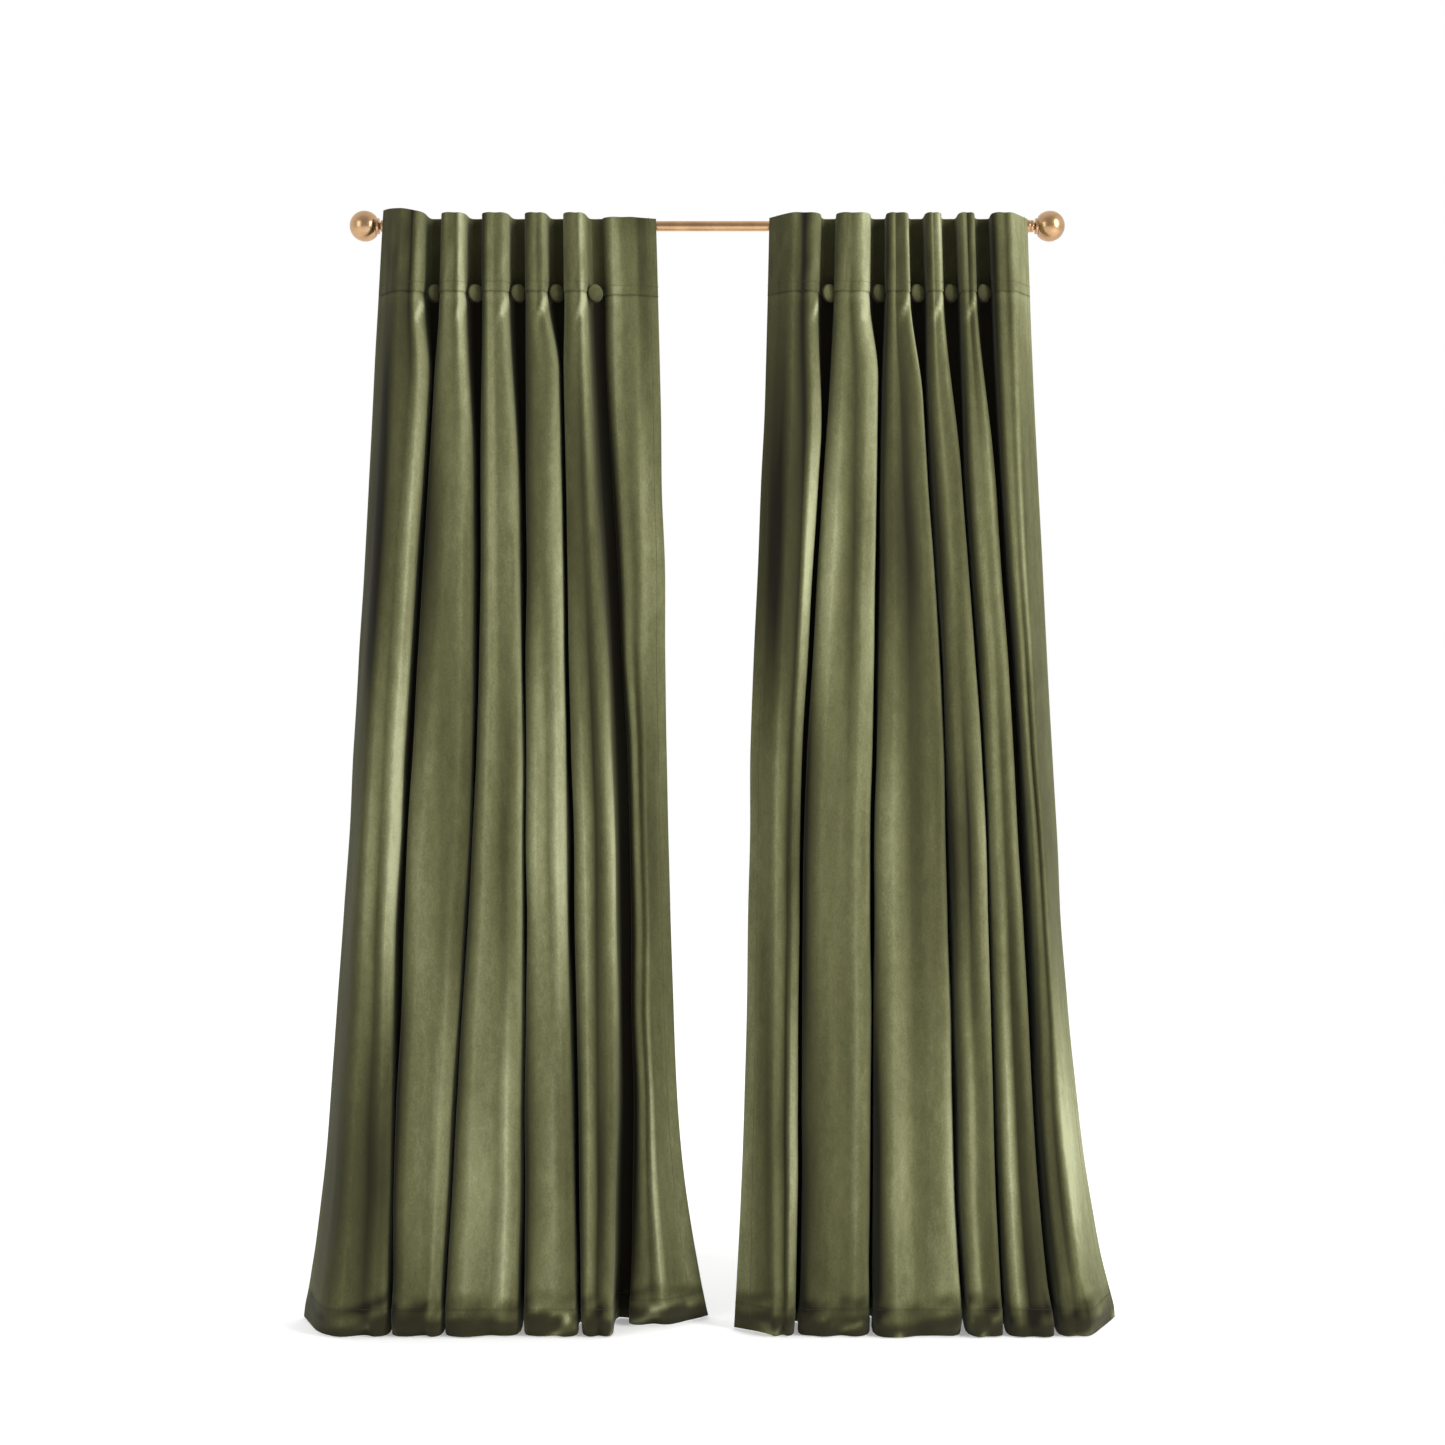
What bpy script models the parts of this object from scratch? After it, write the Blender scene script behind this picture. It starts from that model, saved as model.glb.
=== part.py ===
"""Pair of curtain panels on a telescoping rod with ball finials and two wall brackets.

Metres, +Z up. The wall's face is the plane y = 0 and the room lies towards -Y. The rod's axis runs
along X at z = 0, so the hem is below it. The origin is on the wall, halfway between the brackets.

Each panel is gathered on the rod by loops sewn behind its heading. One piece of cloth runs from a
button round its recess, where a loop holds it, and on to the front of the next fold. It slides along
the rod with its loop and its button, and its front edge passes in front of the next piece.
"""

import math

import bmesh
import bpy
from mathutils import Matrix, Vector

GAP = 0.0003  # between pieces that touch

# Rod: two tubes, the thinner one sliding in the thicker one, their step hidden behind a panel.
ROD_PROJECTION = 0.095
OUTER_TUBE_R = 0.0095
INNER_TUBE_R = 0.0080
TUBE_WALL = 0.0010
OUTER_TUBE_END = 0.2505
TUBE_OVERLAP = 0.220

# Finials: a turned sleeve on each end of the rod and a ball on a collar.
SLEEVE_START = 0.6055
SLEEVE_LENGTH = 0.0168
SLEEVE_BORE_DEPTH = 0.0115
SLEEVE_RING_R = 0.0120
SLEEVE_GROOVE_R = 0.0106
SLEEVE_TIP_R = 0.0070
BALL_R = 0.0288
COLLAR_R = 0.0150
COLLAR_LENGTH = 0.0065
GRUB_R = 0.0015

# Brackets.
BRACKET_X = 0.560
PLATE_R = 0.027
PLATE_T = 0.005
ARM_R = 0.006
CRADLE_WIDTH = 0.013
CRADLE_WALL = 0.004
CRADLE_BASE = 0.007
CRADLE_LIP = 0.003
CLAMP_SCREW_R = 0.0020
CLAMP_HEAD_R = 0.0055
CLAMP_HEAD_LENGTH = 0.010
WALL_SCREW_R = 0.0020
WALL_SCREW_HEAD_R = 0.0040
WALL_SCREW_LENGTH = 0.030
WALL_SCREW_OFFSET = 0.0165
SCREW_CLEARANCE = 0.0003

# Cloth.
CLOTH_T = 0.0040
SLEEVE_TO_CLOTH = 0.0008  # the heading's back clears the thickest part of the rod
HEADER_TOP = 0.0185
HEADER_BOTTOM = -0.158
HEM = -2.085
BUTTON_R = 0.0178
BUTTON_T = 0.0100
BUTTON_RIM = 0.0030
BUTTON_HEIGHT = -0.1365
TAB_WIDTH = 0.030
TAB_T = 0.0018
TAB_TAIL = 0.055
TAB_TO_EDGE = 0.002
TAB_TO_SLEEVE = 0.003

# A fold's shape in plan, from left to right: a flank that runs back to the recess, a flat recess,
# a rise to the front, and the front, which ends a little before the next flank.
RECESS_LEFT = 0.004
RECESS_RIGHT = 0.007
FRONT_GAP = 0.004
FLANK_TIP_BEHIND = CLOTH_T + FRONT_GAP
TIP_OVERLAP = 0.002

# Depths are measured forward from the rod's axis.
HEADER_RECESS = SLEEVE_RING_R + SLEEVE_TO_CLOTH + CLOTH_T / 2
HEADER_FRONT = 0.066
LEAD_STEP = 0.008  # the right panel's leading edge passes in front of the left one's

LEVELS = (HEADER_TOP, HEADER_BOTTOM, -1.09, -1.90, HEM)
FRONT = (HEADER_FRONT, HEADER_FRONT, 0.075, 0.085, 0.088)
FLANK_RUN = (0.022, 0.022, 0.018, 0.018, 0.018)
RISE = (0.004, 0.004, 0.010, 0.010, 0.016)
EDGE_FLAT = (0.016, 0.016, 0.018, 0.025, 0.046)
EDGE_RISE = (0.018, 0.018, 0.020, 0.020, 0.022)

# For each level, from left to right: the left edge, the five recesses and the right edge.
LEFT_X = (
    (-0.611, -0.504, -0.428, -0.348, -0.276, -0.204, -0.0975),
    (-0.623, -0.504, -0.428, -0.348, -0.276, -0.204, -0.0915),
    (-0.677, -0.565, -0.434, -0.341, -0.257, -0.151, -0.0765),
    (-0.733, -0.593, -0.486, -0.343, -0.242, -0.145, -0.0540),
    (-0.774, -0.593, -0.493, -0.348, -0.240, -0.158, 0.0015),
)
LEFT_DEPTH = (
    (HEADER_RECESS,) * 7,
    (HEADER_RECESS,) * 7,
    (-0.010, 0.030, -0.010, -0.010, 0.020, 0.000, -0.020),
    (-0.025, 0.020, -0.030, -0.030, 0.010, -0.020, -0.035),
    (-0.040, 0.000, -0.040, -0.040, 0.000, -0.030, -0.050),
)
RIGHT_X = (
    (0.119, 0.237, 0.330, 0.402, 0.464, 0.526, 0.6040),
    (0.117, 0.237, 0.330, 0.402, 0.464, 0.526, 0.6085),
    (0.081, 0.176, 0.311, 0.453, 0.524, 0.590, 0.6570),
    (0.067, 0.176, 0.309, 0.468, 0.543, 0.622, 0.7200),
    (0.052, 0.167, 0.307, 0.480, 0.556, 0.651, 0.7840),
)
RIGHT_LEAD = HEADER_RECESS + LEAD_STEP
RIGHT_DEPTH = (
    (RIGHT_LEAD,) + (HEADER_RECESS,) * 6,
    (RIGHT_LEAD,) + (HEADER_RECESS,) * 6,
    (0.040, 0.020, -0.010, -0.010, 0.020, 0.010, -0.010),
    (0.038, -0.005, -0.030, -0.030, 0.010, 0.000, -0.025),
    (0.036, -0.010, -0.040, -0.040, 0.000, -0.010, -0.040),
)
# The left panel's last fold is flat and passes behind the right panel's first one.
LEFT_END_FRONT = (0.030, 0.030, 0.015, 0.015, 0.015)

PIECES = 6
AROUND = 32
ROD_Y = -ROD_PROJECTION


def clear_scene():
    for obj in list(bpy.data.objects):
        bpy.data.objects.remove(obj, do_unlink=True)


def new_material(name, colour, roughness, metallic):
    material = bpy.data.materials.new(name)
    material.use_nodes = True
    shader = material.node_tree.nodes["Principled BSDF"]
    shader.inputs["Base Color"].default_value = (*colour, 1.0)
    shader.inputs["Roughness"].default_value = roughness
    shader.inputs["Metallic"].default_value = metallic
    material.diffuse_color = (*colour, 1.0)
    return material


def add_object(name, bm, material, collection):
    bmesh.ops.recalc_face_normals(bm, faces=bm.faces)
    mesh = bpy.data.meshes.new(name)
    bm.to_mesh(mesh)
    bm.free()
    mesh.materials.append(material)
    obj = bpy.data.objects.new(name, mesh)
    collection.objects.link(obj)
    return obj


def turned(name, profile, material, collection, around=AROUND):
    """A solid turned about its own +Z axis. The profile holds (radius, height) points in order;
    a radius of 0 closes it on the axis, and a profile that never meets the axis is closed on itself."""
    bm = bmesh.new()
    rings = []
    for radius, height in profile:
        if radius == 0:
            rings.append([bm.verts.new((0, 0, height))])
            continue
        ring = []
        for i in range(around):
            angle = 2 * math.pi * i / around
            ring.append(bm.verts.new((radius * math.cos(angle), radius * math.sin(angle), height)))
        rings.append(ring)
    pairs = list(zip(rings, rings[1:]))
    if len(rings[0]) > 1 and len(rings[-1]) > 1:
        pairs.append((rings[-1], rings[0]))
    for low, high in pairs:
        if len(low) == 1 and len(high) == 1:
            continue
        for i in range(around):
            j = (i + 1) % around
            if len(low) == 1:
                bm.faces.new((low[0], high[j], high[i]))
            elif len(high) == 1:
                bm.faces.new((low[i], low[j], high[0]))
            else:
                bm.faces.new((low[i], low[j], high[j], high[i]))
    return add_object(name, bm, material, collection)


def place(obj, origin, direction):
    """Moves the object to origin and turns its +Z axis to the direction."""
    turn = Vector(direction).to_track_quat("Z", "Y").to_matrix().to_4x4()
    obj.matrix_world = Matrix.Translation(origin) @ turn


def prism(name, outline, low, high, material, collection):
    """An outline of (y, z) points run along X from low to high."""
    bm = bmesh.new()
    near = [bm.verts.new((low, y, z)) for y, z in outline]
    far = [bm.verts.new((high, y, z)) for y, z in outline]
    bm.faces.new(near)
    bm.faces.new(far)
    for i in range(len(outline)):
        j = (i + 1) % len(outline)
        bm.faces.new((near[i], near[j], far[j], far[i]))
    return add_object(name, bm, material, collection)


def ribbon(path, thickness):
    """The closed outline of a strip of this thickness along a path of 2-D points."""
    points = [Vector(p) for p in path]
    left = []
    right = []
    for i, point in enumerate(points):
        before = points[max(i - 1, 0)]
        after = points[min(i + 1, len(points) - 1)]
        to_point = (point - before).normalized() if i else (after - point).normalized()
        from_point = (after - point).normalized() if i + 1 < len(points) else to_point
        normal = Vector((-(to_point + from_point).y, (to_point + from_point).x)).normalized()
        reach = thickness / 2 / max(0.5, normal.dot(Vector((-to_point.y, to_point.x))))
        left.append(tuple(point + normal * reach))
        right.append(tuple(point - normal * reach))
    return left + right[::-1]


def cut(obj, cutter):
    cutter.hide_render = True
    cutter.display_type = "WIRE"
    boolean = obj.modifiers.new("cut", "BOOLEAN")
    boolean.operation = "DIFFERENCE"
    boolean.solver = "EXACT"
    boolean.object = cutter


def rod_r_at(x):
    return OUTER_TUBE_R if x < OUTER_TUBE_END else INNER_TUBE_R


def build_rod(collection, brass):
    rod_end = SLEEVE_START + SLEEVE_BORE_DEPTH - GAP
    tubes = (
        ("rod_outer_tube", OUTER_TUBE_R, -rod_end, OUTER_TUBE_END),
        ("rod_inner_tube", INNER_TUBE_R, OUTER_TUBE_END - TUBE_OVERLAP, rod_end),
    )
    for name, radius, low, high in tubes:
        bore = radius - TUBE_WALL
        profile = ((radius, 0), (radius, high - low), (bore, high - low), (bore, 0))
        tube = turned(name, profile, brass, collection)
        place(tube, (low, ROD_Y, 0), (1, 0, 0))


def build_finial(side, collection, cutters, brass, steel):
    """side is -1 for the left end and +1 for the right one."""
    word = "left" if side < 0 else "right"
    bore = rod_r_at(side * SLEEVE_START) + GAP
    ring = SLEEVE_RING_R
    groove = SLEEVE_GROOVE_R
    sleeve_profile = (
        (bore, 0),
        (ring, 0),
        (ring, 0.0062),
        (groove, 0.0066),
        (groove, 0.0082),
        (ring - 0.0006, 0.0086),
        (ring - 0.0006, 0.0136),
        (SLEEVE_TIP_R, 0.0145),
        (SLEEVE_TIP_R, SLEEVE_LENGTH),
        (0, SLEEVE_LENGTH),
        (0, SLEEVE_BORE_DEPTH),
        (bore, SLEEVE_BORE_DEPTH),
    )
    sleeve = turned(f"finial_sleeve_{word}", sleeve_profile, brass, collection)
    place(sleeve, (side * SLEEVE_START, ROD_Y, 0), (side, 0, 0))

    ball_start = SLEEVE_START + SLEEVE_LENGTH + GAP
    # The ball's centre is where its surface comes out of the collar's far face.
    centre = COLLAR_LENGTH + math.sqrt(BALL_R**2 - COLLAR_R**2) * 0.86
    profile = [(0, 0), (COLLAR_R - 0.001, 0), (COLLAR_R, 0.001), (COLLAR_R, COLLAR_LENGTH)]
    start = math.acos(min(1.0, (centre - COLLAR_LENGTH) / BALL_R))
    steps = 16
    for i in range(steps + 1):
        angle = start + (math.pi - start) * i / steps
        radius = BALL_R * math.sin(angle)
        profile.append((radius if i < steps else 0, centre - BALL_R * math.cos(angle)))
    ball = turned(f"finial_ball_{word}", profile, brass, collection)
    place(ball, (side * ball_start, ROD_Y, 0), (side, 0, 0))

    grub_x = side * (SLEEVE_START + 0.0031)
    inner = rod_r_at(grub_x) + GAP
    hole_profile = ((0, 0), (GRUB_R + GAP, 0), (GRUB_R + GAP, 0.02), (0, 0.02))
    hole = turned(f"cutter_grub_{word}", hole_profile, steel, cutters, 16)
    place(hole, (grub_x, ROD_Y + inner - 0.002, 0), (0, 1, 0))
    cut(sleeve, hole)
    length = SLEEVE_RING_R - inner - GAP
    grub_profile = ((0, 0), (GRUB_R, 0), (GRUB_R, length), (0, length))
    grub = turned(f"finial_grub_screw_{word}", grub_profile, steel, collection, 16)
    place(grub, (grub_x, ROD_Y + inner, 0), (0, 1, 0))


def build_bracket(side, collection, cutters, brass, steel):
    word = "left" if side < 0 else "right"
    x = side * BRACKET_X
    plate_profile = (
        (0, 0),
        (PLATE_R, 0),
        (PLATE_R, PLATE_T - 0.0015),
        (PLATE_R - 0.0015, PLATE_T),
        (0, PLATE_T),
    )
    plate = turned(f"bracket_plate_{word}", plate_profile, brass, collection, 38)
    place(plate, (x, 0, 0), (0, -1, 0))

    rod_r = rod_r_at(x)
    cradle_r = rod_r + GAP + CRADLE_WALL
    arm_start = PLATE_T + GAP
    arm_length = ROD_PROJECTION - cradle_r - GAP - arm_start
    arm_profile = (
        (0, 0),
        (ARM_R + 0.003, 0),
        (ARM_R + 0.003, 0.003),
        (ARM_R, 0.006),
        (ARM_R, arm_length),
        (0, arm_length),
    )
    arm = turned(f"bracket_arm_{word}", arm_profile, brass, collection, 24)
    place(arm, (x, -arm_start, 0), (0, -1, 0))

    # The cradle is a cup open at the top, with a flat base that takes the clamp screw.
    inner = rod_r + GAP
    base = -(inner + CRADLE_BASE)
    outline = [(ROD_Y + cradle_r, CRADLE_LIP), (ROD_Y + cradle_r, base), (ROD_Y - cradle_r, base)]
    outline += [(ROD_Y - cradle_r, CRADLE_LIP), (ROD_Y - inner, CRADLE_LIP)]
    steps = 14
    for i in range(steps + 1):
        angle = math.pi + math.pi * i / steps
        outline.append((ROD_Y + inner * math.cos(angle), inner * math.sin(angle)))
    outline.append((ROD_Y + inner, CRADLE_LIP))
    low = x - CRADLE_WIDTH / 2
    cradle = prism(f"bracket_cradle_{word}", outline, low, low + CRADLE_WIDTH, brass, collection)

    hole_r = CLAMP_SCREW_R + SCREW_CLEARANCE
    hole_profile = ((0, 0), (hole_r, 0), (hole_r, 0.02), (0, 0.02))
    hole = turned(f"cutter_clamp_{word}", hole_profile, steel, cutters, 16)
    place(hole, (x, ROD_Y, base - 0.008), (0, 0, 1))
    cut(cradle, hole)
    # The head's first knurled ring stands off the base, so the screw can still be turned in.
    stand_off = GAP
    length = CRADLE_BASE + stand_off - GAP + 0.0004
    screw_profile = (
        (0, -CLAMP_HEAD_LENGTH),
        (CLAMP_HEAD_R - 0.001, -CLAMP_HEAD_LENGTH),
        (CLAMP_HEAD_R, 0.001 - CLAMP_HEAD_LENGTH),
        (CLAMP_HEAD_R, -0.001),
        (CLAMP_HEAD_R - 0.001, 0),
        (CLAMP_SCREW_R, 0),
        (CLAMP_SCREW_R, length),
        (0, length),
    )
    screw = turned(f"bracket_clamp_screw_{word}", screw_profile, steel, collection, 16)
    place(screw, (x, ROD_Y, base - stand_off), (0, 0, 1))

    for place_name, sign in (("upper", 1), ("lower", -1)):
        z = sign * WALL_SCREW_OFFSET
        hole_r = WALL_SCREW_R + SCREW_CLEARANCE
        hole_profile = ((0, 0), (hole_r, 0), (hole_r, 0.03), (0, 0.03))
        hole = turned(f"cutter_wall_{place_name}_{word}", hole_profile, steel, cutters, 16)
        place(hole, (x, 0.015, z), (0, -1, 0))
        cut(plate, hole)
        head = PLATE_T + GAP
        wall_screw_profile = (
            (0, -WALL_SCREW_LENGTH),
            (WALL_SCREW_R, 0.006 - WALL_SCREW_LENGTH),
            (WALL_SCREW_R, head),
            (WALL_SCREW_HEAD_R, head),
            (WALL_SCREW_HEAD_R, head + 0.0012),
            (WALL_SCREW_HEAD_R * 0.6, head + 0.0024),
            (0, head + 0.0024),
        )
        name = f"wall_screw_{place_name}_{word}"
        wall_screw = turned(name, wall_screw_profile, steel, collection, 16)
        place(wall_screw, (x, 0, z), (0, -1, 0))


def fold_row(level, piece, xs, depths, end_front):
    """One piece's points at a level, in plan, as (x, depth) from left to right."""
    front = FRONT[level]
    flat = EDGE_FLAT[level]
    if piece == 0:
        edge = xs[0]
        row = [(edge, depths[0]), (edge + flat, depths[0]), (edge + flat + EDGE_RISE[level], front)]
    else:
        recess = xs[piece]
        depth = depths[piece]
        row = [
            (recess - RECESS_LEFT - FLANK_RUN[level], front - FLANK_TIP_BEHIND),
            (recess - RECESS_LEFT, depth),
            (recess + RECESS_RIGHT, depth),
            (recess + RECESS_RIGHT + RISE[level], end_front if piece == PIECES - 1 else front),
        ]
    if piece == PIECES - 1:
        edge = xs[PIECES]
        row += [(edge - flat - EDGE_RISE[level], end_front), (edge - flat, depths[-1]), (edge, depths[-1])]
    else:
        next_flank = xs[piece + 1] - RECESS_LEFT - FLANK_RUN[level]
        row.append((next_flank + TIP_OVERLAP, front))
    return row


def build_panel(word, xs, depths, end_fronts, collection, velvet, lining):
    for piece in range(PIECES):
        bm = bmesh.new()
        rows = []
        for level, z in enumerate(LEVELS):
            row = fold_row(level, piece, xs[level], depths[level], end_fronts[level])
            rows.append([bm.verts.new((x, ROD_Y - depth, z)) for x, depth in row])
        for upper, lower in zip(rows, rows[1:]):
            for i in range(len(upper) - 1):
                bm.faces.new((upper[i], lower[i], lower[i + 1], upper[i + 1]))
        cloth = add_object(f"{word}_cloth_{piece + 1}", bm, velvet, collection)
        solidify = cloth.modifiers.new("thickness", "SOLIDIFY")
        solidify.thickness = CLOTH_T
        solidify.offset = 0
        solidify.use_even_offset = True

    reach = SLEEVE_START - TAB_TO_SLEEVE - TAB_WIDTH / 2
    for tab in range(PIECES + 1):
        depth = depths[0][tab]
        if tab == 0:
            centre = max(xs[0][0] + TAB_WIDTH / 2 + TAB_TO_EDGE, -reach)
        elif tab == PIECES:
            centre = min(xs[0][-1] - TAB_WIDTH / 2 - TAB_TO_EDGE, reach)
        else:
            centre = xs[0][tab] + (RECESS_RIGHT - RECESS_LEFT) / 2
        build_tab(f"{word}_tab_{tab + 1}", centre, depth, collection, lining)

    for button in range(1, PIECES):
        build_button(f"{word}_button_{button}", xs[1][button], depths[1][button], collection, velvet)


def build_tab(name, centre, depth, collection, lining):
    """A loop sewn at both ends to the back of the heading, with the rod between it and the cloth."""
    rod_r = rod_r_at(centre)
    radius = rod_r + GAP + TAB_T / 2
    seam_y = ROD_Y - depth + CLOTH_T / 2 + GAP
    path = [(seam_y, radius)]
    steps = 12
    for i in range(steps + 1):
        angle = math.radians(90 - 130 * i / steps)
        path.append((ROD_Y + radius * math.cos(angle), radius * math.sin(angle)))
    path.append((seam_y + TAB_T / 2, 0.012 - TAB_TAIL))
    path.append((seam_y + TAB_T / 2, -TAB_TAIL))
    low = centre - TAB_WIDTH / 2
    prism(name, ribbon(path, TAB_T), low, low + TAB_WIDTH, lining, collection)


def build_button(name, recess, depth, collection, velvet):
    """A covered button, domed on its front, seated on the middle of the flank."""
    front = HEADER_FRONT - FLANK_TIP_BEHIND
    along = Vector((FLANK_RUN[1], front - depth, 0)).normalized()
    # Depth grows towards -Y, so a flank that runs back to the right faces right and forward.
    outward = Vector((along.y, -along.x, 0))
    middle = Vector((recess - RECESS_LEFT - FLANK_RUN[1] / 2, ROD_Y - (front + depth) / 2, BUTTON_HEIGHT))
    crown = BUTTON_T - BUTTON_RIM
    profile = [(0, 0), (BUTTON_R - 0.001, 0), (BUTTON_R, 0.001), (BUTTON_R, BUTTON_RIM)]
    steps = 6
    for i in range(1, steps + 1):
        angle = math.pi / 2 * i / steps
        radius = BUTTON_R * math.cos(angle) if i < steps else 0
        profile.append((radius, BUTTON_RIM + crown * math.sin(angle)))
    obj = turned(name, profile, velvet, collection, 24)
    place(obj, middle + outward * (CLOTH_T / 2 + GAP), outward)


def main():
    clear_scene()
    scene_collection = bpy.context.scene.collection
    collection = bpy.data.collections.new("Curtains_on_rod")
    cutters = bpy.data.collections.new("Cutters")
    scene_collection.children.link(collection)
    scene_collection.children.link(cutters)
    brass = new_material("brass", (0.42, 0.26, 0.13), 0.3, 1.0)
    steel = new_material("steel", (0.45, 0.45, 0.46), 0.35, 1.0)
    velvet = new_material("velvet", (0.105, 0.100, 0.045), 0.85, 0.0)
    lining = new_material("tab_cloth", (0.085, 0.080, 0.036), 0.9, 0.0)
    build_rod(collection, brass)
    for side in (-1, 1):
        build_finial(side, collection, cutters, brass, steel)
        build_bracket(side, collection, cutters, brass, steel)
    build_panel("left", LEFT_X, LEFT_DEPTH, LEFT_END_FRONT, collection, velvet, lining)
    build_panel("right", RIGHT_X, RIGHT_DEPTH, FRONT, collection, velvet, lining)


main()
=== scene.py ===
"""Looks for a pair of velvet curtain panels on a brass rod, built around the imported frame.

Metres, +Z up. The rod's axis runs along X at z = 0, the wall is at y = 0 and the room lies towards -Y.
Depth is measured forward from the rod's axis, towards the room.
"""

import math

import bmesh
import bpy
import numpy as np
from mathutils import Matrix, Vector


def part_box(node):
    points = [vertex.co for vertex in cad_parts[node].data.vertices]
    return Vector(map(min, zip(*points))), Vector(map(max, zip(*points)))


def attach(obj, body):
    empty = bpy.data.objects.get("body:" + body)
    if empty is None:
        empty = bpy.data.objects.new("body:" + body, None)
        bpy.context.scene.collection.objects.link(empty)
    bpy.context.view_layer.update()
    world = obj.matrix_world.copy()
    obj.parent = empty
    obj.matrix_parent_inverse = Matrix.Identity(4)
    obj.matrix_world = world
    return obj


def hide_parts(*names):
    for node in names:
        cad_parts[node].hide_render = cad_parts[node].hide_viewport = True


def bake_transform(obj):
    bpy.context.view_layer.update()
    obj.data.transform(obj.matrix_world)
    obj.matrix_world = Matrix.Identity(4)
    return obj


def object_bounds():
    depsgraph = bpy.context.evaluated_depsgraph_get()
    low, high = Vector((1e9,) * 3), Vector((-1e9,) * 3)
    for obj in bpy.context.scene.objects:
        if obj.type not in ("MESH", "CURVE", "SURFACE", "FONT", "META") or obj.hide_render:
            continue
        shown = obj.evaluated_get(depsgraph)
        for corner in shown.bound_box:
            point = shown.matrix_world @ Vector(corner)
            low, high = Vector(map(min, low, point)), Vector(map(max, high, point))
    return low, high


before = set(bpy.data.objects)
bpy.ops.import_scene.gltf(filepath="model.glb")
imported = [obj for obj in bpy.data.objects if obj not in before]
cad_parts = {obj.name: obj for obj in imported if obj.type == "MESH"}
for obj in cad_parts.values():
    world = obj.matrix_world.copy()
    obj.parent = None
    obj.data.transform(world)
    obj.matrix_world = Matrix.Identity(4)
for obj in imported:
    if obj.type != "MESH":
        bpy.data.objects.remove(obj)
cad_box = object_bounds()

# ---------------------------------------------------------------- sizes

tube_low, tube_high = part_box("rod_outer_tube")
ROD_Y = (tube_low[1] + tube_high[1]) / 2
OUTER_R = (tube_high[2] - tube_low[2]) / 2
inner_low, inner_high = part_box("rod_inner_tube")
INNER_R = (inner_high[2] - inner_low[2]) / 2

PIECES = 6  # of cloth in a panel
TABS = PIECES + 1
CAD_CLOTH = 0.004  # how thick the frame's cloth is

# The camera stands this far in front of the rod and sees this width of the rod's plane.
CAMERA_DISTANCE = 4.0
CAMERA_X = 0.029
CAMERA_Z = -0.943
VIEW_WIDTH = 2.7455
SENSOR_WIDTH = 36.0

HEADER_TOP = 0.010
SEAM = -0.1365
SECOND_STITCH = 0.018  # above the seam
FLOOR = -2.087
SIDE_HEM = 0.025
HEM_STITCH = 0.062  # above the hem's edge
HEM_BREAK = 0.150  # the length of cloth that bends where it meets the floor
HEM_BREAK_ROWS = 34
HEM_EXTRA = 0.028  # cloth longer than the drop

CLOTH = 0.0014
HEADER_CLOTH = 0.0036
HEM_CLOTH = 0.0030
ROW_STEP = 0.009
COLUMNS_PER_SPAN = 5
RECESS_FLAT = 0.66  # of a recess's half width

# How many heights the folds are measured at on the frame's cloth, and how often those are smoothed.
MEASURED_HEIGHTS = 14
SMOOTHING_PASSES = 3

# How light each part of a fold is painted, from its left side to its right one, 0 dark to 1 light: painted
# shade in the recess and on the rise, painted light on the crown and shoulder.
PAINTED_LIGHT_BY_PART = {
    "edge": 0.46,
    "rise": 0.30,
    "crown": 0.55,
    "dip": 0.36,
    "shoulder": 0.62,
    "flank": 0.46,
    "recess": 0.02,
}
PAINTED_LIGHT_WANDER = 0.34  # how far the painted light wanders up and down a fold
RECESS_SHADE_EASED_AT_HEADING = 0.26  # a recess in the heading gets this much less painted shade than one lower down

# How far the folds close over their recesses below the heading, and over what drop they do so.
FOLDS_SHUT = 0.80
SHUT_WANDER = 0.14
SHUT_OVER = (0.10, 0.42)
HALF_SLIT = 0.0045  # of the slit left between two folds that have fallen shut

# The crease between a fold's crown and its shoulder: where it runs across the fold, how far it wanders
# and how deep it is at the heading and at the hem.
CROWN_AT, DIP_AT, SHOULDER_AT = 0.24, 0.52, 0.80
DIP_WANDER = 0.16
DIP_AT_HEADING, DIP_AT_HEM = 0.002, 0.012
FOLD_ROUNDING = 0.007  # how far a fold's corners stand behind its crown

# Soft irregular waves in the cloth: height, how many across and down a metre, offset and seed.
DEPTH_WAVES = ((0.0022, 26, 1.7, 0, 0), (0.0009, 70, 6.0, 0, 2), (0.0018, 34, 7.5, 0, 13))
SIDE_WAVES = ((0.0016, 22, 2.1, 40, 1), (0.0022, 12, 6.0, 9, 12))
CRUMPLES = ((0.0042, 20, 13, 0, 14), (0.0020, 48, 30, 0, 15))

# The heading stands higher at the left panel's outer corner.
CORNER_RISE = {"left": 0.016, "right": 0.0}
PUCKER = 1.35  # how strong the creases under each button are
GROOVE = 0.0022  # how far a hem's stitched groove reaches on each side

# The cloth's middle surface is pressed back beyond the knee and never passes the limit.
FRONT_KNEE = 0.084
FRONT_LIMIT = ROD_Y - cad_box[0][1] + 0.008

FLOOR_GLOW = 0.26
ROOM_LIGHT = 0.45
WINDOW_LIGHT = 1.0
STITCH_PITCH = 0.0042
STITCH_LENGTH = 0.0030
STITCH_THICKNESS = 0.0006
TAB_LOOP_R = 0.0122
TAB_CLOTH = 0.0012
TAB_JOIN = -0.030  # the height where a tab's two layers part to go round the rod
TAB_OPENING = math.radians(18)  # half the angle that the loop leaves open at its join
TAB_LAYERS = (0.0008, 0.0024)  # each layer's middle, from the back of the CAD tab
TAB_INSET = 0.0006  # of the edges from the CAD tab's
BUTTON_R = 0.0176
BUTTON_T = 0.0105
BUTTON_FACING = 0.62  # a button turns to the front as its thread pulls the flank in
BUTTON_PROUD = 0.004  # of the CAD button's middle
BUTTON_TONES = (0.18, 0.60)

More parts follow.
